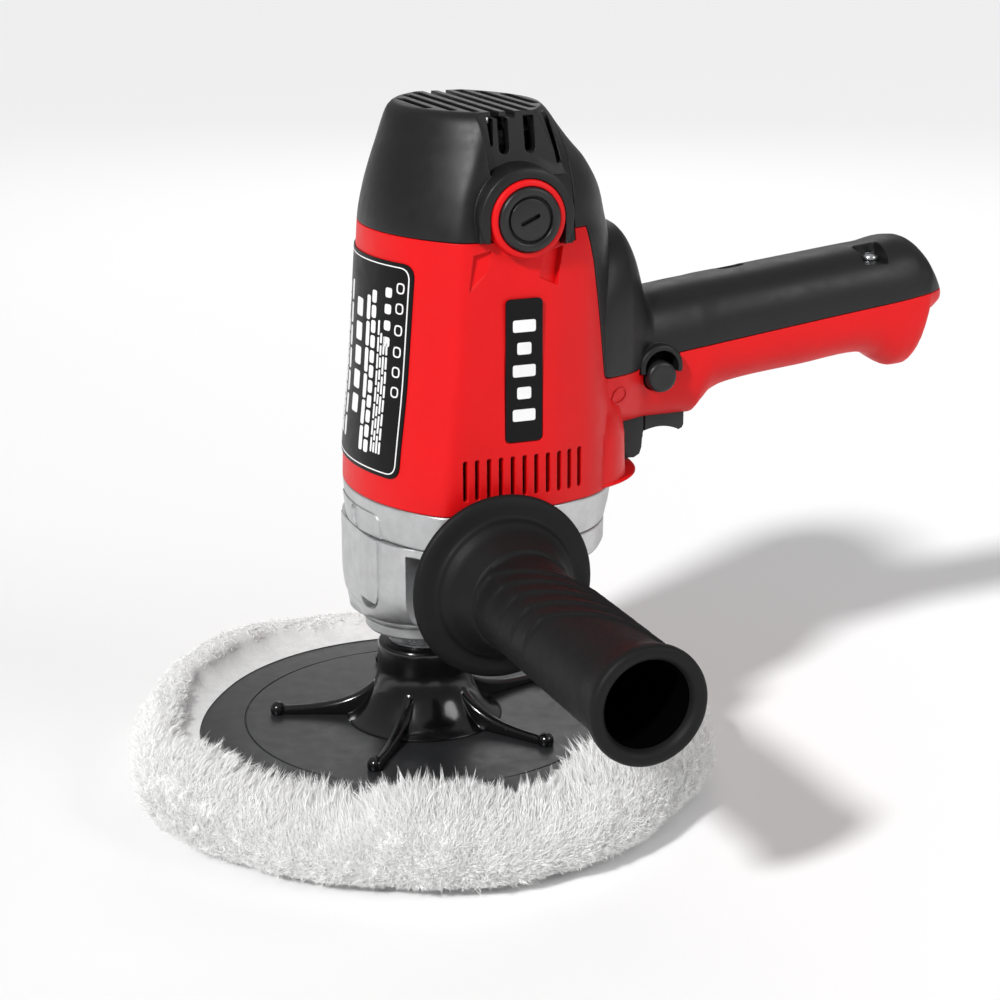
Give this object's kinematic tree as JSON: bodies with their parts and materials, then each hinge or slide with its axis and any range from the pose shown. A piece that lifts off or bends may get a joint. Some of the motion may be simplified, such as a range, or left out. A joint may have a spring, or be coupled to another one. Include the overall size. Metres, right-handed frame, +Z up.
{
  "type": "rotary polisher",
  "caption": "Vertical-motor rotary polisher with a rear trigger handle, a screw-in side handle and a wool bonnet on a round backing pad.",
  "frame": {"origin": "on the spindle axis, at the flat polishing face of the wool bonnet", "axes": "+Z up along the spindle, +X towards the end of the rear handle, -Y towards the side handle"},
  "size_m": [0.32, 0.282, 0.251],
  "materials": {
    "red_plastic": "satin moulded",
    "black_plastic": "fine textured moulding",
    "cast_alloy": "cast and bead blasted",
    "grip_rubber": "smooth moulded rubber",
    "gloss_black": "high gloss",
    "disc_plastic": "smooth, low sheen",
    "foam": "open-cell foam",
    "wool": "sheared wool pile",
    "steel": "turned",
    "gear_steel": "hardened, oiled",
    "copper": "enamelled copper",
    "brass": "plain",
    "carbon": "pressed carbon",
    "label": "printed foil"
  },
  "bodies": {
    "machine": {"motor_housing": "red_plastic", "handle_cover": "black_plastic", "top_cap": "black_plastic", "gear_housing": "cast_alloy", "gear_case_cover": "cast_alloy", "bearing_collar": "cast_alloy", "case_screw_1": "steel", "case_screw_2": "steel", "case_screw_3": "steel", "case_screw_4": "steel", "cover_screw_1": "steel", "cover_screw_2": "steel", "spindle_bearing_lower": "steel", "spindle_bearing_upper": "steel", "countershaft_bearing_lower": "steel", "countershaft_bearing_upper": "steel", "armature_bearing_lower": "steel", "armature_bearing_upper": "steel", "bearing_carrier": "black_plastic", "stator_core": "gear_steel", "field_coil_front": "copper", "field_coil_rear": "copper", "carbon_brush_left": "carbon", "carbon_brush_right": "carbon", "brush_holder_left": "brass", "brush_holder_right": "brass", "brush_spring_left": "steel", "brush_spring_right": "steel", "brush_cap_left": "black_plastic", "brush_cap_right": "black_plastic", "side_handle": "grip_rubber", "side_handle_stud": "steel", "switch_body": "black_plastic", "trigger_spring": "steel", "cable_gland": "grip_rubber", "side_label": "label", "name_plate": "label"},
    "output": {"spindle": "steel", "spindle_gear": "gear_steel", "pad_hub": "gloss_black", "backing_disc": "disc_plastic", "foam_layer": "foam", "wool_bonnet": "wool"},
    "layshaft": {"countershaft": "steel", "countershaft_gear": "gear_steel"},
    "rotor": {"armature_shaft": "steel", "armature_core": "gear_steel", "armature_winding_lower": "copper", "armature_winding_upper": "copper", "commutator": "copper", "cooling_fan": "black_plastic"},
    "trigger_lever": {"trigger": "black_plastic"},
    "lock_pin": {"lock_button": "black_plastic"}
  },
  "joints": [
    {"name": "spindle_spin", "type": "hinge", "parent": "machine", "child": "output", "pos_m": [0, 0, 0.05], "axis": [0, 0, 1], "continuous": true},
    {"name": "countershaft_spin", "type": "hinge", "parent": "machine", "child": "layshaft", "pos_m": [0.01446, 0.01782, 0.09], "axis": [0, 0, 1], "continuous": true},
    {"name": "armature_spin", "type": "hinge", "parent": "machine", "child": "rotor", "pos_m": [0.022, 0, 0.16], "axis": [0, 0, 1], "continuous": true},
    {"name": "trigger_pull", "type": "slide", "parent": "machine", "child": "trigger_lever", "axis": [0, 0, 1], "range_m": [0, 0.004], "stiffness_N_per_m": 1200, "springref_m": -0.003, "deforming": ["trigger_spring"]},
    {"name": "lock_button_press", "type": "slide", "parent": "machine", "child": "lock_pin", "axis": [0, 1, 0], "range_m": [0, 0.003], "stiffness_N_per_m": 900, "springref_m": -0.002}
  ],
  "couplings": [
    {"joint": "countershaft_spin", "follows": "spindle_spin", "ratio": -2.9231},
    {"joint": "armature_spin", "follows": "spindle_spin", "ratio": 9.6462}
  ]
}
